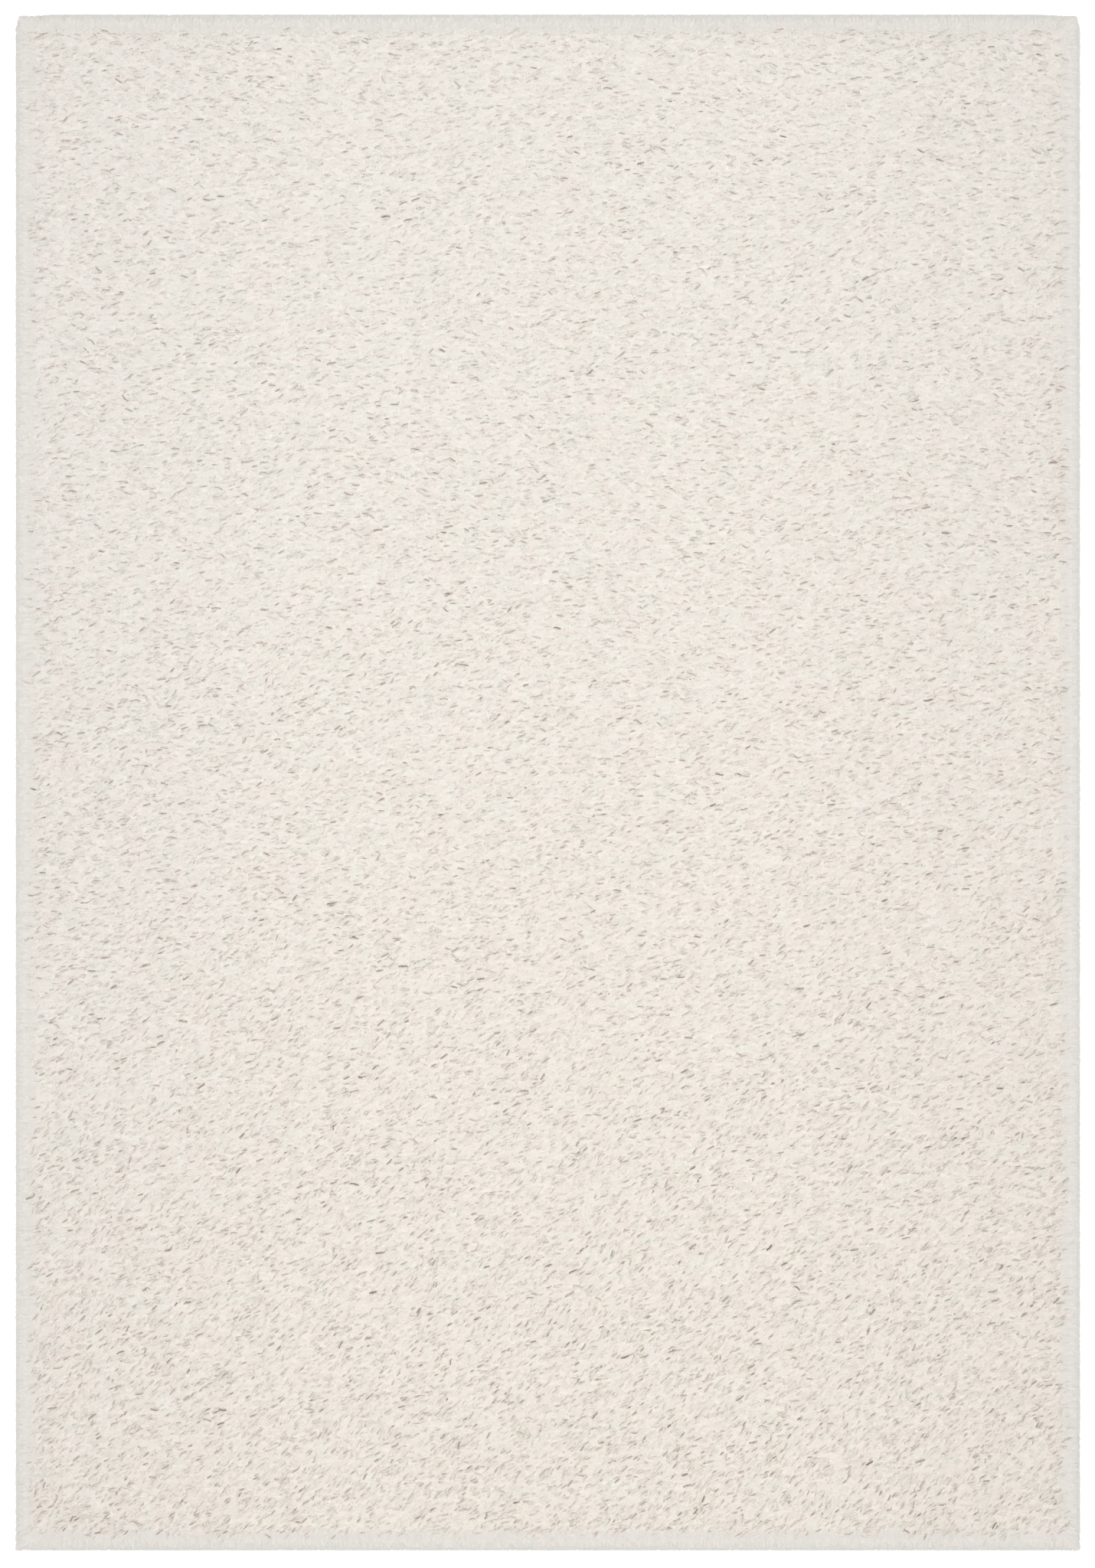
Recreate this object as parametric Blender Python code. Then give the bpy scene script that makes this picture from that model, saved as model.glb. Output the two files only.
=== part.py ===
"""A shag rug lying flat: one lumpy slab of dense pile, with locks of yarn round its rim.

Metres, +Z up. The rug lies on z = 0 with its middle at the origin, its width along X and its
length along Y, and +Y is the end with the two cut corners.
"""

import math
import random

import bmesh
import bpy
from mathutils import Vector, noise

# Driving dimensions: the rug from lock tip to lock tip, and the height of its combed pile.
RUG_WIDTH = 1.600
RUG_LENGTH = 2.309
PILE_HEIGHT = 0.0275

# The top is a grid of tufts, about 34 mm from one to the next.
TUFTS_ACROSS = 47
TUFTS_ALONG = 68
TUFT_SWAY = 0.009          # how far a tuft strays sideways from its place in the grid
TUFT_RISE = 0.0028         # how far one tuft stands above or below its neighbours
CLUMP_RISE = 0.0044        # how far a clump of tufts stands above or below the pile
CLUMP_SIZE = 0.090         # from one clump to the next
LEVEL_MARGIN = 0.060       # the pile rounds over within this distance of the rim
ROUND_OVER = 0.0020        # and sinks by this much there

# The flank, from the shoulder of the pile to its foot on the floor, going outwards and down.
# Columns: distance in from the rug's outline, height above the floor.
FLANK = (
    (0.0250, 0.0250),
    (0.0160, 0.0200),
    (0.0135, 0.0095),
    (0.0165, 0.0000),
)
LOCK_ROW = 2               # the locks grow from the band that ends at this row of the flank
FLANK_SWAY = 0.0018        # unevenness of the flank above the floor

# A lock comes out of the flank, turns down to the floor and lies level on it to its tip.
# Columns: share of the way to the outline, half its width as a share of its root's width,
# and thickness. Its underside is on the floor at both sections.
LOCK_SECTIONS = (
    (0.50, 0.400, 0.0105),
    (1.00, 0.230, 0.0040),
)
LOCK_WIDTH_CHANGE = 0.12   # widths differ by up to this share
LOCK_THICKNESS_CHANGE = 0.30
LOCK_SHORTFALL = 0.0050    # the shortest locks end this far inside the outline
LOCK_LEAN = 0.0045         # a tip strays this far sideways
CORNER_FAN = 0.0085        # the lock next to a corner leans towards it by up to this much
CORNER_FAN_REACH = 0.085   # and the leaning dies away over this distance from the corner

# The two corners at the +Y end are cut a little.
CORNER_CUT = 0.0070
CORNER_CUT_LENGTH = 0.0230

CREAM = (0.815, 0.775, 0.715, 1.0)
SEED = 2

HALF_WIDTH = RUG_WIDTH / 2
HALF_LENGTH = RUG_LENGTH / 2
X_AXIS = Vector((1.0, 0.0, 0.0))
Y_AXIS = Vector((0.0, 1.0, 0.0))


def clear_scene():
    """Remove whatever the scene holds."""
    for thing in list(bpy.data.objects):
        bpy.data.objects.remove(thing, do_unlink=True)


def yarn_material():
    """Dull cream yarn."""
    material = bpy.data.materials.new("cream_yarn")
    material.use_nodes = True
    surface = material.node_tree.nodes["Principled BSDF"]
    surface.inputs["Base Color"].default_value = CREAM
    surface.inputs["Roughness"].default_value = 0.95
    surface.inputs["Metallic"].default_value = 0.0
    return material


def changed(value, share, rng):
    """A value made larger or smaller at random by up to a share of itself."""
    return value * (1.0 + rng.uniform(-share, share))


def on_ring(place, inset):
    """The point of the rug's outline at a place (each from -1 to 1), moved in by the inset."""
    return place[0] * (HALF_WIDTH - inset), place[1] * (HALF_LENGTH - inset)


def strayed(value, step, rng):
    """A grid line's value, from -1 to 1, with a random step unless it is on the rug's rim."""
    on_rim = abs(value) > 0.9999
    return value if on_rim else value + rng.uniform(-step, step)


def pile_height(x, y, rng):
    """The height of the pile's top: clumps, single tufts and a rounding over near the rim."""
    clump = noise.noise(Vector((x / CLUMP_SIZE, y / CLUMP_SIZE, SEED)))
    tuft = rng.uniform(-TUFT_RISE, TUFT_RISE)
    from_rim = min(HALF_WIDTH - abs(x), HALF_LENGTH - abs(y))
    sinking = max(0.0, 1.0 - from_rim / LEVEL_MARGIN)
    return PILE_HEIGHT + CLUMP_RISE * clump + tuft - ROUND_OVER * sinking


def lumpy_top(pile, rng):
    """Lay the grid of tufts over the rug, and return each rim point's place on the outline."""
    bmesh.ops.create_grid(pile, x_segments=TUFTS_ACROSS, y_segments=TUFTS_ALONG, size=1.0)
    rim_inset, rim_height = FLANK[0]
    rim_places = {}
    for point in pile.verts:
        place = (
            strayed(point.co.x, TUFT_SWAY / HALF_WIDTH, rng),
            strayed(point.co.y, TUFT_SWAY / HALF_LENGTH, rng),
        )
        x, y = on_ring(place, rim_inset)
        if point.is_boundary:
            rim_places[point] = place
            height = rim_height + rng.uniform(-TUFT_RISE, TUFT_RISE) / 2
        else:
            height = pile_height(x, y, rng)
        point.co = (x, y, height)
    bmesh.ops.triangulate(pile, faces=pile.faces, quad_method="SHORT_EDGE")
    return rim_places


def flank(pile, rim_places, rng):
    """Draw the rim down to the floor row by row, and return the band that bears the locks."""
    places = rim_places
    rim = [edge for edge in pile.edges if edge.is_boundary]
    lock_band = []
    for row, (inset, height) in enumerate(FLANK[1:], start=1):
        sway = FLANK_SWAY if height > 0.0 else 0.0
        drawn = bmesh.ops.extrude_edge_only(pile, edges=rim)["geom"]
        points = [item for item in drawn if isinstance(item, bmesh.types.BMVert)]
        rim = [item for item in drawn if isinstance(item, bmesh.types.BMEdge)]
        next_places = {}
        for point in points:
            neighbours = (edge.other_vert(point) for edge in point.link_edges)
            place = next(places[other] for other in neighbours if other in places)
            x, y = on_ring(place, inset + rng.uniform(-sway, sway))
            point.co = (x, y, height + rng.uniform(-sway, sway))
            next_places[point] = place
        places = next_places
        if row == LOCK_ROW:
            lock_band = [item for item in drawn if isinstance(item, bmesh.types.BMFace)]
    bmesh.ops.holes_fill(pile, edges=rim, sides=0)
    return lock_band


def side_of(middle):
    """The rug's side that a point is on: its directions outwards and along, and half its length."""
    if HALF_WIDTH - abs(middle.x) < HALF_LENGTH - abs(middle.y):
        return X_AXIS * math.copysign(1.0, middle.x), Y_AXIS, HALF_LENGTH
    return Y_AXIS * math.copysign(1.0, middle.y), X_AXIS, HALF_WIDTH


def outline_distance(outwards, along):
    """How far the rug's outline lies from its middle, with the two cut corners counted."""
    if outwards.y:
        return HALF_LENGTH
    in_cut = max(0.0, 1.0 - (HALF_LENGTH - along) / CORNER_CUT_LENGTH)
    return HALF_WIDTH - CORNER_CUT * min(in_cut, 1.0)


def tip_lean(along, half_side, rng):
    """How far a lock's tip strays along its side: at random, or towards a corner close by."""
    near_corner = 1.0 - (half_side - abs(along)) / CORNER_FAN_REACH
    if near_corner > 0.0:
        return math.copysign(CORNER_FAN * near_corner, along)
    return rng.uniform(-LOCK_LEAN, LOCK_LEAN)


def lock(pile, root, rng):
    """Draw one four-sided lock out of a face of the flank, down to the floor and along it."""
    middle = root.calc_center_median()
    outwards, sideways, half_side = side_of(middle)
    start = middle.dot(outwards)
    along = middle.dot(sideways)
    edges_along = [abs((edge.verts[0].co - edge.verts[1].co).dot(sideways)) for edge in root.edges]
    width = changed(max(edges_along), LOCK_WIDTH_CHANGE, rng)
    thickening = changed(1.0, LOCK_THICKNESS_CHANGE, rng)
    lean = tip_lean(along, half_side, rng)
    shortfall = max(0.0, rng.uniform(-LOCK_SHORTFALL, LOCK_SHORTFALL))
    reach = outline_distance(outwards, along + lean) - shortfall - start
    face = root
    for share, half_width, thickness in LOCK_SECTIONS:
        last_middle = face.calc_center_median()
        face = bmesh.ops.extrude_discrete_faces(pile, faces=[face])["faces"][0]
        for point in face.verts:
            from_middle = point.co - last_middle
            across = along + lean * share + math.copysign(half_width * width,
                                                          from_middle.dot(sideways))
            place = outwards * (start + reach * share) + sideways * across
            place.z = thickness * thickening if from_middle.z > 0.0 else 0.0
            point.co = place


def shag_pile():
    """The whole rug as one closed solid."""
    rng = random.Random(SEED)
    pile = bmesh.new()
    rim_places = lumpy_top(pile, rng)
    for root in flank(pile, rim_places, rng):
        lock(pile, root, rng)
    bmesh.ops.recalc_face_normals(pile, faces=pile.faces)
    mesh = bpy.data.meshes.new("shag_pile")
    pile.to_mesh(mesh)
    pile.free()
    mesh.materials.append(yarn_material())
    return bpy.data.objects.new("shag_pile", mesh)


def main():
    clear_scene()
    collection = bpy.data.collections.new("shag_rug")
    bpy.context.scene.collection.children.link(collection)
    collection.objects.link(shag_pile())


main()
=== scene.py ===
"""Dresses a cream shag rug: loose yarn ends over their ground, and a plain stage from above."""

import math

import bmesh
import bpy
import numpy as np
from bpy.props import FloatProperty, FloatVectorProperty, IntProperty, PointerProperty
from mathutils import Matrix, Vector, noise


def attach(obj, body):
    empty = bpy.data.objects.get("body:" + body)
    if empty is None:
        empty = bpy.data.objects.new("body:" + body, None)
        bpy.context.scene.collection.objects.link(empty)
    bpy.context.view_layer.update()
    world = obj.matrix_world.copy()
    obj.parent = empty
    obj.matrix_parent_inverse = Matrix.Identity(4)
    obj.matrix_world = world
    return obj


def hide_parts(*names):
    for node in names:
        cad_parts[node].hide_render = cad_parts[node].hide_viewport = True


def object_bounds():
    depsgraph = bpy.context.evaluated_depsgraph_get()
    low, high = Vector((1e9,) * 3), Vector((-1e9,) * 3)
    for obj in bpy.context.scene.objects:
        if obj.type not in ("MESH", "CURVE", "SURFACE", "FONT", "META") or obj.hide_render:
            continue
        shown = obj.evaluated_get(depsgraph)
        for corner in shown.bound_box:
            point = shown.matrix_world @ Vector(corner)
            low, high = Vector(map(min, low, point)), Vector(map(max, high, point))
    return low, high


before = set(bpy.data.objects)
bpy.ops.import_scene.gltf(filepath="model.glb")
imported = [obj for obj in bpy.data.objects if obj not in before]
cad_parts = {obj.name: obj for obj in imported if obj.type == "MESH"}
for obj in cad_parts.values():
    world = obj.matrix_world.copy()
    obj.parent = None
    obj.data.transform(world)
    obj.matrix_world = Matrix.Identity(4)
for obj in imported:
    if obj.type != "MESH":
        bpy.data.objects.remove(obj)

bl_info = {
    "name": "Shag rug",
    "version": (1, 0, 0),
    "blender": (4, 5, 0),
    "location": "3D View > Sidebar > Shag rug",
    "description": "Makes the ground, the pile and the stage of a cream shag rug",
    "category": "Mesh",
}

CAD_LOW, CAD_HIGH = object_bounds()
CAD_NODE = "shag_pile"

# The rug's outline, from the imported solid, and its two cut corners at the +Y end.
HALF_WIDTH = CAD_HIGH.x
HALF_LENGTH = CAD_HIGH.y
CORNER_CUT = 0.0070
CORNER_CUT_LENGTH = 0.0230
CORNER_DIP = 0.0032        # the +Y end falls back by this much towards its two corners
CORNER_DIP_LENGTH = 0.0800

# The stage.
KEY_SIZE = 1.3             # the broad light's side
EVEN_ANGLE = 18.0          # the even light spreads over this angle, and comes from this much
EVEN_LEAN = 1.5            # towards the -Y end, both in degrees
HORIZON_FADE = 0.5         # the light from low down fades out up to this height, of 1 overhead
FLOOR_SIZE = 800.0         # so wide that its edge stays out of sight
FLOOR_DROP = 0.0003        # the floor lies this much under the rug
FLOOR_WHITE = (0.98, 0.98, 0.98)
WHITE = (1.0, 1.0, 1.0)

# The photograph's frame in pixels, and the rug's outline in it.
PHOTO_WIDTH = 1430
PHOTO_HEIGHT = 2048
RUG_MIDDLE_PX = (715.5, 1022.0)
RUG_LENGTH_PX = 2006.0
METRES_PER_PIXEL = 2 * HALF_LENGTH / RUG_LENGTH_PX

# The bed: the dense lower pile in its ground. Columns of the flank, from the top's edge down
# to the floor: distance in from the rug's outline, height above the floor.
BED_CELLS = (100, 144)
BED_HEIGHT = 0.0200
BED_FLANK = (              # the last row is where the ground cloth ends
    (0.0340, 0.0190),
    (0.0210, 0.0160),
    (0.0110, 0.0105),
    (0.0045, 0.0050),
    (0.0012, 0.0018),
    (0.0025, 0.0000),
)
BED_MARGIN = 0.0010
BED_RISE_REACH = 0.030     # from its edge inwards the top rises to its height over this distance
CLUMP_SIZE = 0.090         # the clumps are where the solid's are, and about half as high
CLUMP_RISE = 0.0024
CLUMP_SEED = 2

# Colours of the yarn. A patch of it is rosier or greener than the cream by ROSIER, and a cool
# patch differs from the cream by COOL_GREENER or COOL_ROSIER.
ROSIER = Vector((0.016, -0.010, 0.000))
COOL_GREENER = Vector((-0.030, 0.002, 0.035))
COOL_ROSIER = Vector((-0.004, -0.008, 0.035))
COOL_PATCH_SIZE = (0.0150, 0.0100, 0.0100)
COOL_FROM, COOL_TO = 0.42, 0.62
WARMER_WAY = (0.45, -0.75, 0.0)  # the yarn is warmer towards the corner that lies this way by this share of its red, green and blue and darker by this share towards the two long sides, a painted shade, from this far off the rug's middle line
WARM = (1.0, 0.987, 0.972)       # by this share of its red, green and blue
SIDE_SHADE = (0.965, 0.965, 0.970)     # and duller by this share towards the two long sides,
SIDE_SHADE_FROM = 0.25                 # from this far off the rug's middle line
OUTER_LIGHT = (0.785, 0.767, 0.735)    # painted light: the outermost yarn made lighter against the shade on its steep slope

# The finish of the yarn. Its patterns' sizes are in metres.
FIBRE_SIZE = (0.0022, 0.0009, 0.0009)
FIBRE_HEIGHT = 0.0004
CRUMBLE_SIZE = (0.0021, 0.0016, 0.0016)
ROOT_SHADE_FROM, ROOT_SHADE_TO = 0.02, 0.16  # painted shade at the roots gives way over this part of a yarn end
RIM_SHARE = 0.85                 # how much of the rim's colour the rim's yarn has
OUTER_LIGHT_FROM = 0.5                 # the painted light on the outermost yarn starts at this part of a yarn end
OUTER_LIGHT_SHARE = 0.5
SHADES = (0.955, 1.03)           # the darkest and the lightest yarn, as shares of the colour

# Painted shade along a yarn's side, for the shade between yarn ends: how much its side, a
# crumbling and its two ends count, which part of the yarn is darkest, and the sum from which it
# starts and at which it is full.
CREVICE_SIDE = 1.2
CREVICE_CRUMBLE = 2.8
CREVICE_ENDS = 0.6
CREVICE_MIDDLE = 0.45
CREVICE_FROM, CREVICE_TO = 2.15, 2.31

# The finish of the bed.
BED_FLOW_SIZE = (0.040, 0.030, 0.040)
BED_FLOW = 3.0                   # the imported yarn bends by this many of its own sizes
BED_YARN_SIZE = (0.0095, 0.0040, 0.0080)
BED_PATCH_SIZE = (0.0090, 0.0050, 0.0060)
# painted shade in the gaps of the bed, in patches
BED_GAP_SHADE_FROM, BED_GAP_SHADE_TO = 0.66, 0.76
BED_GAP_SHADE_INSET = (0.020, 0.050)   # no painted gap shade up to the first distance in, all from the second on
# painted light near the outline: full up to the first distance in, none from the second on
BED_OUTER_LIGHT_INSET = (0.003, 0.016)
BED_YARN_HEIGHT = 0.0004

# The finish of the woven ground: its ribs across the rug and its threads along it.
RIB_SIZE = (0.0500, 0.0500, 0.0500)
THREAD_SIZE = (0.0220, 0.0220, 0.0220)
WEAVE_HEIGHT = 0.0012
GROUND_DIP_SHADE = 0.7                # the colour in its dips, a painted shade, as a share of the ground's

# The yarn's rod, which every yarn end copies: three-sided, one unit in radius and in length.
ROD_SIDES = 3
TIP_LENGTH = 0.5           # the round tip reaches this many radii past the last ring
ROUNDING = 0.36            # the shading turns by this much from a yarn's ridge to its sides
RIM_ROUNDING = 0.16        # and by this much on the rim's yarn, which is pressed flat
ROOT_LEAN = -0.15          # the shading leans back at the root
END_LEAN = 0.2             # and forward at the other end
ROUND_TIP_WAY = (0.0, 0.9, 0.5)
CUT_TIP_WAY = (0.0, 0.5, 0.9)
SIDE_MIDDLE = 0.675        # how much of its painted shade a yarn's ridge takes, and how much more its one side takes than the other
SIDE_RANGE = 0.65          # its one side takes than the other
LOWEST = 0.0002            # no yarn reaches nearer to the floor
CELL_MARGIN = 0.05         # each yarn end has its own cell of the map, less this on each side

# The fields of the pile, from the lowest to the highest. Columns: name, bends, whether the tip
# is round or cut, yarn ends, height of the roots, then for each stretch its length and how
# steeply it climbs in degrees.
FIELDS = (
    ("pile_under_one", 0, False, 24800, 0.0188, (0.0098,), (12,)),
    ("pile_under_two", 0, False, 24800, 0.0192, (0.0102,), (16,)),
    ("pile_under_three", 0, False, 24800, 0.0196, (0.0106,), (20,)),
    ("pile_upper", 1, True, 12300, 0.0195, (0.0058, 0.0074), (40, 4)),
)
FIELD_SEED_STEP = 100
FIELD_MARGIN = 0.0040      # no yarn end of a field reaches nearer to the rug's outline
ROOT_INSET = 0.0150        # and none is rooted nearer to it
ROLL_WIDTH = 0.0150        # the fields roll down over this distance from there,
ROLL_DROP = 0.0050         # with roots this much lower,
ROLL_PULL = 1.2            # yarn ends turned outwards this strongly
ROLL_FALL = (20.0, 40.0)   # and falling by these degrees, at the root and at the tip
ROLL_TINT = 0.6            # and this much of the rim's colour

# The lie of the pile. Angles are in radians, apart from climbs.
MEAN_HEADING = 0.02
SLANT = 0.55               # how far the yarn ends turn from straight across at the -Y end
DRIFT = 0.22               # a slow turn over distances of DRIFT_SIZE
DRIFT_SIZE = 0.30
TUFT_TURN = 0.26           # a turn from tuft to tuft
TURNED_SIZE = 0.045        # yarn ends that lie the other way come in groups of this size,
TURNED_CHANCE = 0.6        # with this much chance in it
TURNED_FROM = 0.12         # and fewer of them the higher this is
TURN = 0.32                # a yarn end bends sideways by about this much
LIFT = 5.0                 # and is lifted or pressed down by about this many degrees,
LOWER_LIFT = 0.2           # by this share more at the -Y end
LOWER_CLIMB = 2.0          # where it also climbs by this many degrees more
LENGTH_CHANGE = 0.18
THICKNESS_CHANGE = 0.15
ROOT_SWAY = 0.0009         # roots stand higher or lower by about this much

# The yarn ends part and close up by this much, and by so much more at the -Y end.
PARTING = 0.00132
LOWER_PARTING = 0.00108
PARTING_SIZE = 0.0085
PARTING_STRETCH = 1.8      # the partings are this much longer than wide
PARTING_SEEDS = (11.0, 17.0)

# Values that each yarn end has. Columns: middle, spread by chance, and patches of it, each
# with its weight, size and seed.
TONE = (0.5, 0.2, ((0.3, 0.02, 5.0),))
TINT = (0.5, 0.3, ((0.5, 0.05, 6.0),))
# painted shade between yarn ends, for each yarn end
CREVICE_SHADES = (0.45, 0.23, ((0.06, 0.018, 8.0), (0.04, 0.070, 9.0)))
LOWER_CREVICE_SHADE = 0.10      # more of the painted shade at the -Y end
RIM_TONE = (0.55, 0.12, ())
RIM_TINT = (0.5, 0.2, ())

# The rim: yarn ends that lie down over the bed's edge.
RIM_YARNS = 10400
RIM_THICKENING = 1.25      # these lie side by side, pressed wide
RIM_FLATNESS = 0.45
RIM_MARGIN = 0.0004
RIM_STRAYING = 0.0022      # tips of the upper tiers end up to this much sooner or later
RIM_SHORTFALL = 0.0003     # and every tip about this much sooner
RIM_SWAY = 0.0014          # a tip strays sideways by about this much
RIM_ROOT_SWAY = 0.0010     # roots stand higher or lower by about this much
RIM_TIP_SWAY = 0.0005      # and tips by about this much,
RIM_LOWEST = 0.0014        # but no lower than this
RIM_STEPS = (0.0, 0.55, 1.0)   # where a yarn end of the rim has its root, its bend and its tip
RIM_SHAPE = (1.0, 0.72, 0.0)   # and its height there, from the tip's at 0 to the root's at 1
RIM_SEED = 900
CORNER_FAN = 0.030         # the yarn ends fan out within this distance of a corner

# Its tiers, from the outermost in. Columns: share of the rim's yarn ends, inset and height of
# the roots, inset and height of the tips.
RIM_TIERS = (
    (0.34, 0.0160, 0.0100, 0.0000, 0.0024),
    (0.24, 0.0200, 0.0135, 0.0020, 0.0055),
    (0.22, 0.0260, 0.0165, 0.0070, 0.0110),
    (0.20, 0.0320, 0.0185, 0.0130, 0.0155),
)


class RugPile(bpy.types.PropertyGroup):
    """Sizes of the pile that a user would change."""

    thickness: FloatProperty(
        name="Yarn thickness", description="Thickness of one yarn end",
        default=0.0040, min=0.001, max=0.01, subtype="DISTANCE", unit="LENGTH")
    flatness: FloatProperty(
        name="Flatness", description="How flat a yarn end lies: its height as a share of its width",
        default=0.5, min=0.2, max=1.0, subtype="FACTOR")
    sway: FloatProperty(
        name="Sway", description="How far single yarn ends turn away from the lie of the pile",
        default=math.radians(15), min=0.0, max=math.pi, subtype="ANGLE", unit="ROTATION")
    tuft: FloatProperty(
        name="Tuft size", description="Distance over which the yarn ends lie alike",
        default=0.055, min=0.01, max=0.5, subtype="DISTANCE", unit="LENGTH")
    seed: IntProperty(
        name="Seed", description="Picks another lie of the yarn ends", default=7, min=0)


class RugColours(bpy.types.PropertyGroup):
    """Colours of the yarn and the ground."""

    cream: FloatVectorProperty(
        name="Cream", description="The yarn on top of the pile",
        default=(0.779, 0.738, 0.671), min=0.0, max=1.0, size=3, subtype="COLOR")
    # painted shade: the yarn darker down at its roots, where the pile shades it
    root_shade: FloatVectorProperty(
        name="Deep", description="The yarn down at its roots",
        default=(0.670, 0.612, 0.545), min=0.0, max=1.0, size=3, subtype="COLOR")
    # painted shade: the dark put along yarn ends and in the bed's gaps, where the pile shades
    # itself
    crevice_shade: FloatVectorProperty(
        name="Crevice", description="The dark between two yarn ends",
        default=(0.160, 0.101, 0.054), min=0.0, max=1.0, size=3, subtype="COLOR")
    rim: FloatVectorProperty(
        name="Rim", description="The smooth yarn that rolls down over the rim",
        default=(0.687, 0.663, 0.626), min=0.0, max=1.0, size=3, subtype="COLOR")
    ground: FloatVectorProperty(
        name="Ground", description="The ground cloth on the underside",
        default=(0.60, 0.53, 0.43), min=0.0, max=1.0, size=3, subtype="COLOR")


class RugStage(bpy.types.PropertyGroup):
    """The camera, the light and the floor."""

    lens: FloatProperty(
        name="Lens", description="Focal length of the camera, in millimetres",
        default=180.0, min=20.0, max=300.0, subtype="DISTANCE_CAMERA")
    key: FloatProperty(
        name="Key light", description="Strength of the broad light above the rug, in watts",
        default=74.0, min=0.0, max=2000.0, subtype="POWER", unit="POWER")
    key_height: FloatProperty(
        name="Key height", description="How high the broad light hangs",
        default=5.0, min=1.0, max=20.0, subtype="DISTANCE", unit="LENGTH")
    even: FloatProperty(
        name="Even light", description="Strength of the even light from above, in watts a square "
        "metre", default=2.19, min=0.0, max=20.0)
    fill: FloatProperty(
        name="Fill light", description="Strength of the light from overhead all round",
        default=0.18, min=0.0, max=5.0)
    horizon: FloatProperty(
        name="Horizon", description="Strength of the light from low down all round",
        default=0.96, min=0.0, max=5.0)


# --- Materials ---------------------------------------------------------------------------


class Wire:
    """A shader socket in an expression. Its operators add Math nodes."""

    def __init__(self, nodes, socket):
        self.nodes = nodes
        self.socket = socket

    def maths(self, operation, first, second):
        return self.nodes.node("ShaderNodeMath", {"operation": operation}, {0: first, 1: second})

    def __add__(self, other):
        return self.maths("ADD", self, other)

    __radd__ = __add__

    def __sub__(self, other):
        return self.maths("SUBTRACT", self, other)

    def __rsub__(self, other):
        return self.maths("SUBTRACT", other, self)

    def __mul__(self, other):
        return self.maths("MULTIPLY", self, other)

    __rmul__ = __mul__

    def __abs__(self):
        return self.maths("ABSOLUTE", self, 0.0)

    def least(self, other):
        return self.maths("MINIMUM", self, other)


class Nodes:
    """The nodes of a material or of the world."""

    def __init__(self, tree):
        self.tree = tree

    def node(self, kind, settings, inputs, output=0):
        """Add a node, set it up, feed its sockets and return one of its outputs."""
        added = self.tree.nodes.new(kind)
        for name, value in settings.items():
            setattr(added, name, value)
        for name, value in inputs.items():
            self.feed(added.inputs[name], value)
        return Wire(self, added.outputs[output])

    def feed(self, socket, value):
        """Link a wire to a socket, or give the socket a plain value."""
        if isinstance(value, Wire):
            self.tree.links.new(value.socket, socket)
        else:
            socket.default_value = value


class Finish(Nodes):
    """A material and its nodes."""

    def __init__(self, name, roughness, sheen):
        self.material = bpy.data.materials.new(name)
        self.material.use_nodes = True
        super().__init__(self.material.node_tree)
        self.surface = self.tree.nodes["Principled BSDF"]
        self.feed(self.surface.inputs["Roughness"], roughness)
        self.feed(self.surface.inputs["Sheen Weight"], sheen)
        self.feed(self.surface.inputs["Specular IOR Level"], 0.25)

    def mix(self, share, first, second, blend="MIX"):
        """Two colours mixed: all of the first at 0 and of the second at 1."""
        settings = {"data_type": "RGBA", "blend_type": blend}
        return self.node("ShaderNodeMix", settings, {0: share, 6: first, 7: second}, output=2)

    def spread(self, value, low, high, to_low=0.0, to_high=1.0):
        """A value from one range brought smoothly into another."""
        return self.node("ShaderNodeMapRange", {"interpolation_type": "SMOOTHSTEP"},
                         {"Value": value, "From Min": low, "From Max": high,
                          "To Min": to_low, "To Max": to_high})

    def place(self, sizes):
        """Where on the object a point is, in repeats of a pattern of these sizes."""
        where = self.node("ShaderNodeTexCoord", {}, {}, output="Object")
        scale = tuple(1.0 / size for size in sizes)
        return self.node("ShaderNodeMapping", {}, {"Vector": where, "Scale": scale})

    def bump(self, height, distance, strength):
        """Raise the surface by a pattern."""
        normal = self.node("ShaderNodeBump", {},
                           {"Height": height, "Distance": distance, "Strength": strength})
        self.feed(self.surface.inputs["Normal"], normal)


def opaque(colour):
    """A colour with nothing see-through about it."""
    return (*colour, 1.0)


def creams(finish, colours, pink):
    """The cream of the yarn, a little rosier or greener by a value, and cooler in patches.
    It is warmer towards the -Y end and the +X side, and darker towards the long sides by painted
    shade."""
    warm = finish.node("ShaderNodeVectorMath", {"operation": "DOT_PRODUCT"},
                       {0: finish.place((1.0, 1.0, 1.0)), 1: WARMER_WAY}, output="Value")
    cool = finish.node("ShaderNodeTexNoise", {},
                       {"Vector": finish.place(COOL_PATCH_SIZE), "Detail": 1.0})
    base = Vector(colours.cream)
    rosy = finish.mix(pink, opaque(base - ROSIER), opaque(base + ROSIER))
    cooler = finish.mix(pink, opaque(base + COOL_GREENER), opaque(base + COOL_ROSIER))
    mixed = finish.mix(finish.spread(cool, COOL_FROM, COOL_TO), rosy, cooler)
    mixed = finish.mix(finish.spread(warm, -1.0, 1.0), mixed, opaque(WARM), blend="MULTIPLY")
    x = finish.node("ShaderNodeSeparateXYZ", {}, {"Vector": finish.place((1.0, 1.0, 1.0))},
                    output="X")
    # painted shade: darker towards the two long sides
    return finish.mix(finish.spread(abs(x), SIDE_SHADE_FROM, HALF_WIDTH), mixed, opaque(SIDE_SHADE),
                      blend="MULTIPLY")


def shaded(finish, colour, shade):
    """A colour made lighter or darker by a value."""
    grey = finish.node("ShaderNodeCombineColor", {}, {"Red": shade, "Green": shade, "Blue": shade})
    return finish.mix(1.0, colour, grey, blend="MULTIPLY")


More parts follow.
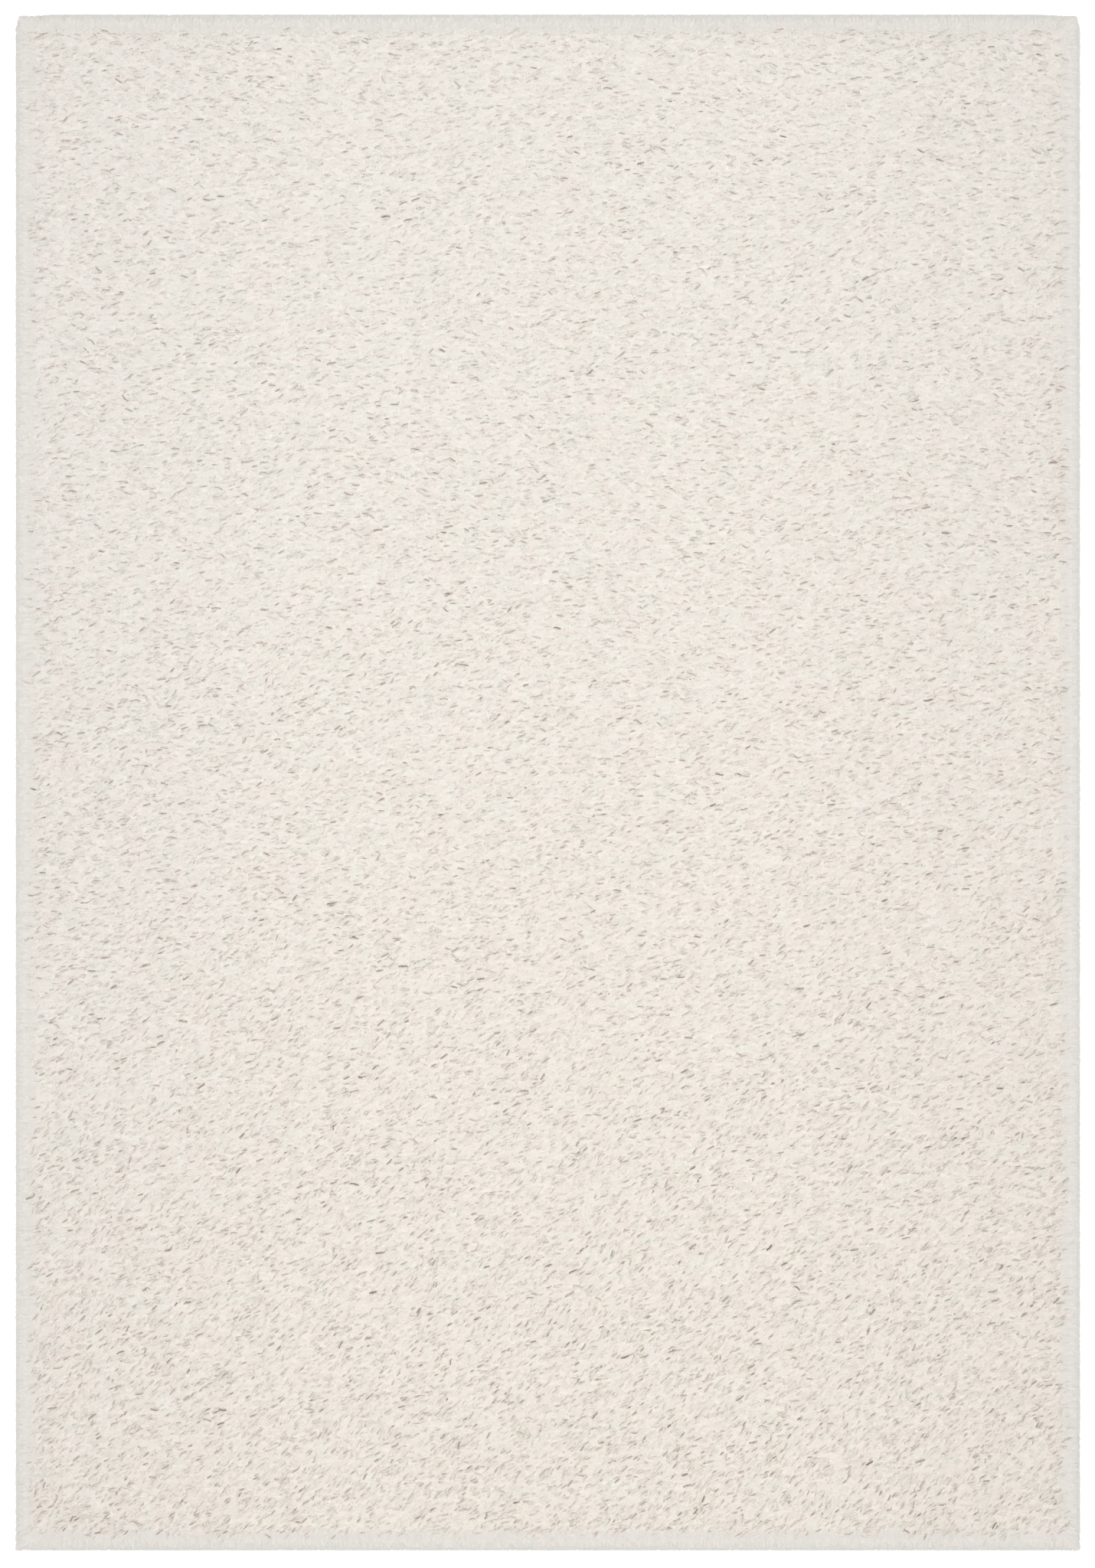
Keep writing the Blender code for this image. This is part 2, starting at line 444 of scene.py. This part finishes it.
def yarn_finish(colours):
    """Soft twisted yarn. The attribute yarn holds tone, tint, place along the yarn and rim,
    and the attribute edge how much painted shade, for the shade between two yarn ends, a place
    takes."""
    finish = Finish("cream_yarn_pile", roughness=0.9, sheen=0.1)
    yarn = {"attribute_name": "yarn"}
    parts = finish.node("ShaderNodeAttribute", yarn, {}, output="Color")
    rim = finish.node("ShaderNodeAttribute", yarn, {}, output="Alpha")
    tone = finish.node("ShaderNodeSeparateColor", {}, {"Color": parts}, output="Red")
    tint = finish.node("ShaderNodeSeparateColor", {}, {"Color": parts}, output="Green")
    along = finish.node("ShaderNodeSeparateColor", {}, {"Color": parts}, output="Blue")
    fibre = finish.node("ShaderNodeTexNoise", {},
                        {"Vector": finish.place(FIBRE_SIZE), "Detail": 2.0})
    edge = finish.node("ShaderNodeAttribute", {"attribute_name": "edge"}, {}, output="Fac")
    # painted shade at the root of each yarn end, less on the rim's yarn
    risen = finish.spread(along + rim * 0.5, ROOT_SHADE_FROM, ROOT_SHADE_TO)
    body = finish.mix(risen, opaque(colours.root_shade), creams(finish, colours, tint))
    body = finish.mix(rim * RIM_SHARE, body, opaque(colours.rim))
    # painted light on the outer part of the rim's yarn, against the shade on the steep slope
    outer_light = finish.spread(rim * along, OUTER_LIGHT_FROM, 1.0, 0.0, OUTER_LIGHT_SHARE)
    body = finish.mix(outer_light, body, opaque(OUTER_LIGHT))
    # painted shade along one side of each yarn end, broken up by a crumbling
    crumble = finish.node("ShaderNodeTexNoise", {},
                          {"Vector": finish.place(CRUMBLE_SIZE), "Detail": 0.0})
    line = edge * CREVICE_SIDE + crumble * CREVICE_CRUMBLE
    line -= abs(along - CREVICE_MIDDLE) * CREVICE_ENDS
    dark = finish.spread(line, CREVICE_FROM, CREVICE_TO)
    body = finish.mix(dark, body, opaque(colours.crevice_shade))
    shade = finish.spread(tone * 0.4 + fibre * 0.6, 0.3, 0.7, *SHADES)
    finish.feed(finish.surface.inputs["Base Color"], shaded(finish, body, shade))
    finish.feed(finish.surface.inputs["Roughness"], 0.82 + fibre * 0.14)
    finish.bump(fibre, FIBRE_HEIGHT, 0.6)
    return finish.material


def bed_finish(colours):
    """The lower pile between the yarn ends: yarn packed side by side, mostly across the rug."""
    finish = Finish("cream_yarn_bed", roughness=0.92, sheen=0.1)
    flow = finish.node("ShaderNodeTexNoise", {},
                       {"Vector": finish.place(BED_FLOW_SIZE), "Detail": 1.0}, output="Color")
    bend = finish.node("ShaderNodeVectorMath", {"operation": "SCALE"},
                       {0: flow, "Scale": BED_FLOW})
    where = finish.node("ShaderNodeVectorMath", {"operation": "ADD"},
                        {0: finish.place(BED_YARN_SIZE), 1: bend})
    edge = finish.node("ShaderNodeTexVoronoi", {"feature": "DISTANCE_TO_EDGE"},
                       {"Vector": where, "Scale": 1.0})
    cell = finish.node("ShaderNodeTexVoronoi", {"feature": "F1"},
                       {"Vector": where, "Scale": 1.0}, output="Color")
    patches = finish.node("ShaderNodeTexNoise", {},
                          {"Vector": finish.place(BED_PATCH_SIZE), "Detail": 1.0})
    tone = finish.node("ShaderNodeSeparateColor", {}, {"Color": cell}, output="Red")
    tint = finish.node("ShaderNodeSeparateColor", {}, {"Color": cell}, output="Green")
    yarn = finish.spread(edge, 0.02, 0.22)
    spot = finish.node("ShaderNodeTexCoord", {}, {}, output="Object")
    x = finish.node("ShaderNodeSeparateXYZ", {}, {"Vector": spot}, output="X")
    y = finish.node("ShaderNodeSeparateXYZ", {}, {"Vector": spot}, output="Y")
    from_rim = (HALF_WIDTH - abs(x)).least(HALF_LENGTH - abs(y))
    # painted shade: dark gaps between the bed's yarn, in patches, away from the rim
    gap_shade = (1 - yarn * 0.65) * finish.spread(patches, BED_GAP_SHADE_FROM, BED_GAP_SHADE_TO)
    gap_shade = gap_shade * finish.spread(from_rim, *BED_GAP_SHADE_INSET)
    lit = shaded(finish, creams(finish, colours, tint), 0.94 + tone * 0.08)
    # painted light near the outline, against the shade on the steep flank
    outer_light = finish.spread(from_rim, *BED_OUTER_LIGHT_INSET, 1.0, 0.0)
    lit = finish.mix(outer_light, lit, opaque(OUTER_LIGHT))
    finish.feed(finish.surface.inputs["Base Color"],
                finish.mix(gap_shade, lit, opaque(colours.crevice_shade)))
    finish.bump(yarn + tone * 0.5, BED_YARN_HEIGHT, 0.8)
    return finish.material


def ground_finish(colours):
    """The woven ground on the underside: ribs across the rug over fine threads."""
    finish = Finish("ground_weave", roughness=0.85, sheen=0.1)
    across = finish.node("ShaderNodeTexWave", {"wave_type": "BANDS", "bands_direction": "Y"},
                         {"Vector": finish.place(RIB_SIZE), "Scale": 1.6, "Distortion": 0.6,
                          "Detail": 1.0})
    along = finish.node("ShaderNodeTexWave", {"wave_type": "BANDS", "bands_direction": "X"},
                        {"Vector": finish.place(THREAD_SIZE), "Scale": 1.6, "Distortion": 0.4})
    weave = across * 0.7 + along * 0.3
    # painted shade in the dips of the weave
    dark = Vector(colours.ground) * GROUND_DIP_SHADE
    finish.feed(finish.surface.inputs["Base Color"],
                finish.mix(weave, opaque(dark), opaque(colours.ground)))
    finish.bump(weave, WEAVE_HEIGHT, 0.8)
    return finish.material


# --- The rug's outline and the lie of its pile ---------------------------------------------


def field(places, size, seed):
    """Smooth noise over the rug, about -1 to 1, as an array with one value a place."""
    return np.array([noise.noise((x / size, y / size, seed)) for x, y in places])


def smooth_step(value):
    """0 up to 0, 1 from 1 on, and smooth between."""
    inside = np.clip(value, 0.0, 1.0)
    return inside * inside * (3.0 - 2.0 * inside)


def towards_near_end(places):
    """0 at the +Y end and 1 at the -Y end, with a smooth change between."""
    return smooth_step(0.5 - places[:, 1] / (2 * HALF_LENGTH))


def changed(value, share, count, rng):
    """A value made larger or smaller at random by up to a share of itself, count times."""
    return value * rng.uniform(1.0 - share, 1.0 + share, count)


def uneven(row, places, rng):
    """A value for each place, with the row's middle, spread by chance and patches."""
    middle, by_chance, patches = row
    values = rng.normal(middle, by_chance, len(places))
    for weight, size, seed in patches:
        values += weight * field(places, size, seed)
    return values


def side_limit(y):
    """How far the rug reaches sideways at a place along its length, with the cut corners."""
    in_cut = np.clip(1.0 - (HALF_LENGTH - y) / CORNER_CUT_LENGTH, 0.0, 1.0)
    return HALF_WIDTH - CORNER_CUT * in_cut


def end_limit(x):
    """How far the rug's +Y end reaches at a place across it."""
    near_corner = smooth_step(1.0 - (HALF_WIDTH - np.abs(x)) / CORNER_DIP_LENGTH)
    return HALF_LENGTH - CORNER_DIP * near_corner


def kept_inside(points, margin):
    """Points moved onto the rug where they lie past its outline less a margin."""
    limit_x = side_limit(points[..., 1]) - margin
    points[..., 0] = np.clip(points[..., 0], -limit_x, limit_x)
    points[..., 1] = np.clip(points[..., 1], margin - HALF_LENGTH,
                             end_limit(points[..., 0]) - margin)
    return points


def scattered(count, inset, rng):
    """Places all over the rug, evenly loose, with one place in each cell of a staggered grid."""
    width, length = 2 * (HALF_WIDTH - inset), 2 * (HALF_LENGTH - inset)
    across = round(math.sqrt(count * width / length))
    along = round(count / across)
    column, row = np.meshgrid(np.arange(across), np.arange(along))
    stagger = 0.5 * (row % 2)
    x = (column + stagger + rng.uniform(0.0, 1.0, column.shape)) / (across + 0.5)
    y = (row + rng.uniform(0.0, 1.0, row.shape)) / along
    return np.stack([(x.ravel() - 0.5) * width, (y.ravel() - 0.5) * length], axis=1)


def lie_of_pile(places, pile, rng):
    """The heading of each yarn end: mostly across the rug, alike within a tuft."""
    heading = MEAN_HEADING + SLANT * towards_near_end(places) ** 2
    heading += DRIFT * field(places, DRIFT_SIZE, pile.seed)
    heading += TUFT_TURN * field(places, pile.tuft, pile.seed + 1)
    heading += rng.normal(0.0, pile.sway, len(places))
    groups = field(places, TURNED_SIZE, pile.seed + 2)
    turned = groups + rng.uniform(-TURNED_CHANCE, TURNED_CHANCE, len(places)) > TURNED_FROM
    return heading + math.pi * turned


def clump_height(places):
    """How far the clumps of the pile stand up at each place."""
    return CLUMP_RISE * field(places, CLUMP_SIZE, CLUMP_SEED)


# --- Yarn ends -------------------------------------------------------------------------------


def model_rod(bends, round_tip):
    """Model one yarn end as a straight rod with rings to bend at, and a round or a cut tip."""
    bpy.ops.object.select_all(action="DESELECT")
    bpy.ops.mesh.primitive_cylinder_add(vertices=ROD_SIDES, radius=1.0, depth=1.0,
                                        location=(0.0, 0.0, 0.5))
    rod = bpy.context.object
    bpy.ops.object.transform_apply(location=True, rotation=True, scale=True)
    bpy.ops.object.mode_set(mode="EDIT")
    mesh = bmesh.from_edit_mesh(rod.data)
    for edge in mesh.edges:
        edge.select_set(abs(edge.verts[0].co.z - edge.verts[1].co.z) > 0.5)
    if bends:
        bpy.ops.mesh.subdivide(number_cuts=bends)
    if round_tip:
        bpy.ops.mesh.select_all(action="DESELECT")
        mesh = bmesh.from_edit_mesh(rod.data)
        for face in mesh.faces:
            face.select_set(face.calc_center_median().z > 0.999)
        bpy.ops.mesh.poke(offset=TIP_LENGTH)
    bpy.ops.object.mode_set(mode="OBJECT")
    return rod


class Rod:
    """The arrays of a modelled rod: its points, faces, map and shading."""

    def __init__(self, bends, round_tip, rounding):
        rod = model_rod(bends, round_tip)
        mesh = rod.data
        points = np.array([point.co for point in mesh.vertices])
        self.stretches = bends + 1
        self.rounded = points[:, 2] > 1.01
        self.ring = np.where(self.rounded, self.stretches + 1,
                             np.round(points[:, 2] * self.stretches)).astype(int)
        self.across = points[:, :2]
        self.across[self.rounded] = 0.0
        self.loops = np.array([loop.vertex_index for loop in mesh.loops])
        self.corners = np.array([face.loop_total for face in mesh.polygons])
        self.map = np.array([loop.uv for loop in mesh.uv_layers[0].data])
        self.side = SIDE_RANGE * self.across[:, 0] / np.ptp(self.across[:, 0]) + SIDE_MIDDLE
        self.lean = self.soft_edges(mesh, rounding)
        bpy.data.objects.remove(rod)

    def soft_edges(self, mesh, rounding):
        """How the shading leans at each corner of each face: sideways, upwards and forward.
        It makes the two upper sides look like one round yarn."""
        lean = np.zeros((len(self.loops), 3))
        lean[:, 0] = np.sign(self.across[self.loops, 0].round(3)) * math.sin(rounding)
        lean[:, 1] = math.cos(rounding)
        lean[self.ring[self.loops] == 0, 2] = ROOT_LEAN
        lean[self.ring[self.loops] == self.stretches, 2] = END_LEAN
        lean[self.rounded[self.loops]] = ROUND_TIP_WAY
        for face in mesh.polygons:
            corners = list(face.loop_indices)
            points = self.loops[corners]
            rings = set(self.ring[points])
            if rings == {0}:
                lean[corners] = (0.0, 0.0, -1.0)
            elif rings == {self.stretches}:
                lean[corners] = CUT_TIP_WAY
            elif self.across[points, 1].max() <= 0.0:
                forward = 1.0 if self.rounded[points].any() else 0.0
                lean[corners] = (0.0, -1.0, forward)
        return lean


def unit(vectors):
    """Vectors brought to a length of one."""
    return vectors / np.maximum(np.linalg.norm(vectors, axis=-1, keepdims=True), 1e-9)


def drawn_lines(roots, headings, lengths, climbs):
    """Centre lines that leave their roots stretch by stretch, each an array of points."""
    steps = np.stack([np.cos(climbs) * np.cos(headings), np.cos(climbs) * np.sin(headings),
                      np.sin(climbs)], axis=-1) * lengths[..., None]
    return np.concatenate([roots[:, None], roots[:, None] + np.cumsum(steps, axis=1)], axis=1)


def yarn_piece(name, rod, lines, thickness, flatness, marks, crevice_shades):
    """One mesh of rods, each bent along its line. Marks has a tone, a tint and a rim a yarn,
    and the crevice values how much painted shade the yarn has along one of its sides."""
    count = len(lines)
    forward = unit(np.gradient(lines, axis=1))
    level = forward * (1.0, 1.0, 0.0) + (1e-6, 0.0, 0.0)
    sideways = unit(np.cross((0.0, 0.0, 1.0), level))
    upwards = np.cross(forward, sideways)
    tips = lines[:, -1:] + forward[:, -1:] * TIP_LENGTH * thickness[:, None, None] / 2
    rings = np.concatenate([lines, tips], axis=1)
    ring = np.minimum(rod.ring, rod.stretches)
    radius = (thickness / 2)[:, None, None]
    points = (rings[:, rod.ring]
              + sideways[:, ring] * rod.across[:, 0, None] * radius
              + upwards[:, ring] * rod.across[:, 1, None] * radius * flatness)
    points[..., 2] = np.maximum(points[..., 2], LOWEST)
    first = np.arange(count)[:, None] * len(rod.ring)
    loops = (rod.loops + first).ravel()
    corners = np.tile(rod.corners, count)
    mesh = bpy.data.meshes.new(name)
    mesh.vertices.add(points.shape[0] * points.shape[1])
    mesh.vertices.foreach_set("co", points.ravel())
    mesh.loops.add(len(loops))
    mesh.loops.foreach_set("vertex_index", loops)
    mesh.polygons.add(len(corners))
    mesh.polygons.foreach_set("loop_start", np.cumsum(corners) - corners)
    mesh.polygons.foreach_set("loop_total", corners)
    mesh.update(calc_edges=True)
    mesh.shade_smooth()
    along = np.broadcast_to(rod.ring / rod.ring.max(), (count, len(rod.ring)))
    tone, tint, rim = (np.broadcast_to(mark[:, None], along.shape) for mark in marks)
    yarn = mesh.attributes.new("yarn", "FLOAT_COLOR", "POINT")
    yarn.data.foreach_set("color", np.stack([tone, tint, along, rim], axis=-1).ravel())
    # painted shade along one side of each yarn end
    edge = mesh.attributes.new("edge", "FLOAT", "POINT")
    edge.data.foreach_set("value", (crevice_shades[:, None] * rod.side).ravel())
    side = math.ceil(math.sqrt(count))
    cell = np.stack([np.arange(count) % side, np.arange(count) // side], axis=1)
    places = (rod.map[None] * (1 - 2 * CELL_MARGIN) + CELL_MARGIN + cell[:, None]) / side
    mesh.uv_layers.new(name="OFBake").data.foreach_set("uv", places.ravel())
    mesh.validate()
    ring = ring[rod.loops]
    normals = (sideways[:, ring] * rod.lean[:, 0, None] + upwards[:, ring] * rod.lean[:, 1, None]
               + forward[:, ring] * rod.lean[:, 2, None])
    mesh.normals_split_custom_set(unit(normals).reshape(-1, 3))
    piece = bpy.data.objects.new(name, mesh)
    bpy.context.scene.collection.objects.link(piece)
    return piece


def partings(places, lower, seed):
    """How far each place moves, so that the yarn ends part and close up along their slant."""
    slant = SLANT * lower ** 2
    along = places[:, 0] * np.cos(slant) + places[:, 1] * np.sin(slant)
    across = places[:, 1] * np.cos(slant) - places[:, 0] * np.sin(slant)
    spots = np.stack([along / PARTING_STRETCH, across], axis=1)
    moves = [field(spots, PARTING_SIZE, own + seed) for own in PARTING_SEEDS]
    return np.stack(moves, axis=1) * (PARTING + LOWER_PARTING * lower)[:, None]


def rolled_out(places, heading):
    """Headings turned outwards near the rug's rim, and how far each place is in that roll."""
    from_side = HALF_WIDTH - np.abs(places[:, 0])
    from_end = HALF_LENGTH - np.abs(places[:, 1])
    to_side = 1.0 - smooth_step((from_side - ROOT_INSET) / ROLL_WIDTH)
    to_end = 1.0 - smooth_step((from_end - ROOT_INSET) / ROLL_WIDTH)
    roll = np.maximum(to_side, to_end)
    x = np.cos(heading) * (1.0 - roll) + to_side * np.sign(places[:, 0]) * ROLL_PULL
    y = np.sin(heading) * (1.0 - roll) + to_end * np.sign(places[:, 1]) * ROLL_PULL
    return np.arctan2(y, x), roll


def field_piece(row, pile, material, index):
    """One field of yarn ends all over the rug."""
    name, bends, round_tip, count, height, lengths, climbs = row
    rng = np.random.default_rng(pile.seed + FIELD_SEED_STEP * index)
    places = scattered(count, ROOT_INSET, rng)
    count = len(places)
    stretches = len(lengths)
    lower = towards_near_end(places)
    places += partings(places, lower, pile.seed)
    heading, roll = rolled_out(places, lie_of_pile(places, pile, rng))
    turns = rng.normal(0.0, TURN, (count, stretches))
    headings = heading[:, None] + np.cumsum(turns, axis=1) - turns[:, :1]
    long = changed(np.array(lengths), LENGTH_CHANGE, (count, 1), rng)
    lift = rng.normal(0.0, LIFT, (count, stretches)) * (1.0 + LOWER_LIFT * lower[:, None])
    falling = roll[:, None] * np.linspace(*ROLL_FALL, stretches)
    steep = np.radians(np.array(climbs) + LOWER_CLIMB * lower[:, None] + lift - falling)
    top = height + clump_height(places) + rng.normal(0.0, ROOT_SWAY, count) - ROLL_DROP * roll
    roots = np.column_stack([places, top])
    lines = kept_inside(drawn_lines(roots, headings, long, steep), FIELD_MARGIN)
    tone = np.clip(uneven(TONE, places, rng), 0.0, 1.0)
    tint = np.clip(uneven(TINT, places, rng), 0.0, 1.0)
    thickness = changed(pile.thickness, THICKNESS_CHANGE, count, rng)
    # painted shade between yarn ends, more at the -Y end, none where the pile rolls over the rim
    crevice_shades = (uneven(CREVICE_SHADES, places, rng) + LOWER_CREVICE_SHADE * lower) * (1.0 - roll)
    piece = yarn_piece(name, Rod(bends, round_tip, ROUNDING), lines, thickness, pile.flatness,
                       (tone, tint, roll * ROLL_TINT), crevice_shades)
    piece.data.materials.append(material)
    return piece


def rim_places(count, inset, rng):
    """Places round the rug at an inset from its outline, and the way outwards at each."""
    width, length = HALF_WIDTH - inset, HALF_LENGTH - inset
    round_it = 4 * (width + length)
    run = (np.arange(count) + rng.uniform(0.2, 0.8, count)) * round_it / count
    corners = ((width, -length), (width, length), (-width, length), (-width, -length))
    ways = ((0.0, 1.0), (-1.0, 0.0), (0.0, -1.0), (1.0, 0.0))
    sides = (2 * length, 2 * width, 2 * length, 2 * width)
    places = np.zeros((count, 2))
    outwards = np.zeros((count, 2))
    before = 0.0
    for corner, way, side in zip(corners, ways, sides):
        on_side = (run >= before) & (run < before + side)
        from_start = run[on_side] - before
        places[on_side] = np.array(corner) + from_start[:, None] * np.array(way)
        to_start = 1.0 - smooth_step(from_start / CORNER_FAN)
        to_end = 1.0 - smooth_step((side - from_start) / CORNER_FAN)
        lean = (to_end - to_start)[:, None] * np.array(way)
        outwards[on_side] = np.array((way[1], -way[0])) + lean
        before += side
    return places, outwards


def rim_piece(pile, material):
    """The yarn ends that roll down over the bed's edge, in tiers, to the rug's outline."""
    rng = np.random.default_rng(pile.seed + RIM_SEED)
    steps, shape = np.array(RIM_STEPS), np.array(RIM_SHAPE)
    all_lines, all_marks, all_thick = [], [], []
    for share, root_inset, root_height, tip_inset, tip_height in RIM_TIERS:
        count = round(share * RIM_YARNS)
        places, outwards = rim_places(count, root_inset, rng)
        straying = rng.uniform(-RIM_STRAYING, RIM_STRAYING, count) * (tip_inset > 0.0)
        all_thick.append(changed(RIM_THICKENING * pile.thickness, THICKNESS_CHANGE, count, rng))
        reach = root_inset - tip_inset - RIM_MARGIN - rng.exponential(RIM_SHORTFALL, count)
        reach += straying
        flat = places[:, None] + outwards[:, None] * reach[:, None, None] * steps[:, None]
        sway = rng.normal(0.0, RIM_SWAY, (count, 1)) * steps
        flat += np.stack([-outwards[:, 1:], outwards[:, :1]], axis=-1) * sway[..., None]
        high = root_height + rng.normal(0.0, RIM_ROOT_SWAY, (count, 1))
        low = np.maximum(tip_height + rng.normal(0.0, RIM_TIP_SWAY, (count, 1)), RIM_LOWEST)
        height = low + (high - low) * shape
        lines = np.concatenate([flat, height[..., None]], axis=-1)
        all_lines.append(kept_inside(lines, RIM_MARGIN))
        tone = np.clip(uneven(RIM_TONE, places, rng), 0.0, 1.0)
        tint = np.clip(uneven(RIM_TINT, places, rng), 0.0, 1.0)
        all_marks.append(np.stack([tone, tint, np.ones(count)]))
    marks = np.concatenate(all_marks, axis=1)
    piece = yarn_piece("pile_rim", Rod(1, False, RIM_ROUNDING), np.concatenate(all_lines),
                       np.concatenate(all_thick), RIM_FLATNESS, marks,
                       np.zeros(marks.shape[1]))
    piece.data.materials.append(material)
    return piece


# --- The bed ---------------------------------------------------------------------------------


def select_rim(mesh):
    """Select the open edges of the mesh that is being edited."""
    for edge in mesh.edges:
        edge.select_set(edge.is_boundary)


def model_bed():
    """The ground and the lower pile as one slab: a grid drawn down to the floor at its rim."""
    inset, height = BED_FLANK[0]
    bpy.ops.object.select_all(action="DESELECT")
    bpy.ops.mesh.primitive_grid_add(x_subdivisions=BED_CELLS[0], y_subdivisions=BED_CELLS[1],
                                    size=2.0, location=(0.0, 0.0, height))
    bed = bpy.context.object
    bed.name = bed.data.name = "pile_bed"
    bed.scale = (HALF_WIDTH - inset, HALF_LENGTH - inset, 1.0)
    bpy.ops.object.transform_apply(location=True, rotation=True, scale=True)
    rises = clump_height([point.co.xy for point in bed.data.vertices])
    for point, rise in zip(bed.data.vertices, rises):
        from_rim = min(HALF_WIDTH - abs(point.co.x), HALF_LENGTH - abs(point.co.y)) - inset
        level = float(smooth_step(from_rim / BED_RISE_REACH))
        point.co.z += level * (BED_HEIGHT - height + rise)
    bpy.ops.object.mode_set(mode="EDIT")
    bpy.ops.mesh.select_mode(type="EDGE")
    bpy.ops.mesh.select_all(action="DESELECT")
    select_rim(bmesh.from_edit_mesh(bed.data))
    for (last_inset, last_height), (inset, height) in zip(BED_FLANK, BED_FLANK[1:]):
        bpy.ops.mesh.extrude_edges_move(
            TRANSFORM_OT_translate={"value": (0.0, 0.0, height - last_height)})
        bpy.ops.transform.resize(value=((HALF_WIDTH - inset) / (HALF_WIDTH - last_inset),
                                        (HALF_LENGTH - inset) / (HALF_LENGTH - last_inset), 1.0),
                                 center_override=(0.0, 0.0, 0.0))
    bpy.ops.mesh.edge_face_add()
    bpy.ops.object.mode_set(mode="OBJECT")
    places = np.array([point.co for point in bed.data.vertices])
    bed.data.vertices.foreach_set("co", kept_inside(places, BED_MARGIN).ravel())
    bed.data.update()
    return bed


# --- Operators -------------------------------------------------------------------------------


class SHAGRUG_OT_bed(bpy.types.Operator):
    """Make the ground cloth and the dense lower pile in it"""

    bl_idname = "shag_rug.bed"
    bl_label = "Ground and lower pile"

    def execute(self, context):
        colours = context.scene.rug_colours
        bed = model_bed()
        bed.data.materials.append(bed_finish(colours))
        bed.data.materials.append(ground_finish(colours))
        for face in bed.data.polygons:
            face.material_index = int(face.normal.z < -0.9)
            face.use_smooth = face.material_index == 0
        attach(bed, "root")
        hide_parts(CAD_NODE)
        return {"FINISHED"}


class SHAGRUG_OT_pile(bpy.types.Operator):
    """Make the yarn ends of the pile, field by field, and those that roll over the rim"""

    bl_idname = "shag_rug.pile"
    bl_label = "Pile"

    def execute(self, context):
        pile = context.scene.rug_pile
        material = yarn_finish(context.scene.rug_colours)
        pieces = [field_piece(row, pile, material, index) for index, row in enumerate(FIELDS)]
        pieces.append(rim_piece(pile, material))
        for piece in pieces:
            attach(piece, "root")
        return {"FINISHED"}


class SHAGRUG_OT_stage(bpy.types.Operator):
    """Make the floor, the soft light and the camera straight above the rug"""

    bl_idname = "shag_rug.stage"
    bl_label = "Stage"

    def execute(self, context):
        scene = context.scene
        stage = scene.rug_stage
        bpy.ops.object.select_all(action="DESELECT")
        bpy.ops.mesh.primitive_plane_add(size=FLOOR_SIZE, location=(0.0, 0.0, -FLOOR_DROP))
        floor = context.object
        floor.name = floor.data.name = "floor"
        finish = Finish("pale_floor", roughness=0.9, sheen=0.0)
        finish.feed(finish.surface.inputs["Base Color"], opaque(FLOOR_WHITE))
        floor.data.materials.append(finish.material)
        self.light(scene, stage)
        self.camera(scene, stage)
        return {"FINISHED"}

    def light(self, scene, stage):
        """A broad soft light above the rug, an even one from higher up, and light all round."""
        key = bpy.data.lights.new("key", "AREA")
        key.energy = stage.key
        key.size = KEY_SIZE
        lamp = bpy.data.objects.new("key", key)
        lamp.location = (0.0, 0.0, stage.key_height)
        scene.collection.objects.link(lamp)
        even = bpy.data.lights.new("even", "SUN")
        even.energy = stage.even
        even.angle = math.radians(EVEN_ANGLE)
        high = bpy.data.objects.new("even", even)
        high.location = (0.0, 0.0, 2 * stage.key_height)
        high.rotation_euler.x = math.radians(EVEN_LEAN)
        scene.collection.objects.link(high)
        world = bpy.data.worlds.new("studio")
        world.use_nodes = True
        studio = Nodes(world.node_tree)
        way = studio.node("ShaderNodeTexCoord", {}, {}, output="Generated")
        height = studio.node("ShaderNodeSeparateXYZ", {}, {"Vector": way}, output="Z")
        strength = studio.node("ShaderNodeMapRange", {},
                               {"Value": height, "From Max": HORIZON_FADE,
                                "To Min": stage.horizon, "To Max": stage.fill})
        background = world.node_tree.nodes["Background"]
        studio.feed(background.inputs["Color"], opaque(WHITE))
        studio.feed(background.inputs["Strength"], strength)
        scene.world = world
        scene.view_settings.view_transform = "Standard"

    def camera(self, scene, stage):
        """Straight above, so far up that the frame takes in what the photograph does."""
        camera = bpy.data.cameras.new("camera")
        camera.lens = stage.lens
        frame_height = PHOTO_HEIGHT * METRES_PER_PIXEL
        height = frame_height * camera.lens / camera.sensor_width
        eye = bpy.data.objects.new("camera", camera)
        eye.location = ((PHOTO_WIDTH / 2 - RUG_MIDDLE_PX[0]) * METRES_PER_PIXEL,
                        (RUG_MIDDLE_PX[1] - PHOTO_HEIGHT / 2) * METRES_PER_PIXEL, height)
        scene.collection.objects.link(eye)
        scene.camera = eye


class SHAGRUG_PT_rug(bpy.types.Panel):
    """Lists the rug's settings and the buttons that make its pieces"""

    bl_idname = "SHAGRUG_PT_rug"
    bl_label = "Shag rug"
    bl_space_type = "VIEW_3D"
    bl_region_type = "UI"
    bl_category = "Shag rug"

    def draw(self, context):
        layout = self.layout
        for group in (context.scene.rug_pile, context.scene.rug_colours,
                      context.scene.rug_stage):
            for name in group.__annotations__:
                layout.prop(group, name)
        for operator in (SHAGRUG_OT_bed, SHAGRUG_OT_pile, SHAGRUG_OT_stage):
            layout.operator(operator.bl_idname)


CLASSES = (RugPile, RugColours, RugStage, SHAGRUG_OT_bed, SHAGRUG_OT_pile, SHAGRUG_OT_stage,
           SHAGRUG_PT_rug)


def register():
    for one in CLASSES:
        bpy.utils.register_class(one)
    bpy.types.Scene.rug_pile = PointerProperty(type=RugPile)
    bpy.types.Scene.rug_colours = PointerProperty(type=RugColours)
    bpy.types.Scene.rug_stage = PointerProperty(type=RugStage)


def unregister():
    del bpy.types.Scene.rug_stage
    del bpy.types.Scene.rug_colours
    del bpy.types.Scene.rug_pile
    for one in reversed(CLASSES):
        bpy.utils.unregister_class(one)


def main():
    register()
    bpy.ops.shag_rug.stage()
    bpy.ops.shag_rug.bed()
    bpy.ops.shag_rug.pile()


if __name__ == "__main__":
    main()
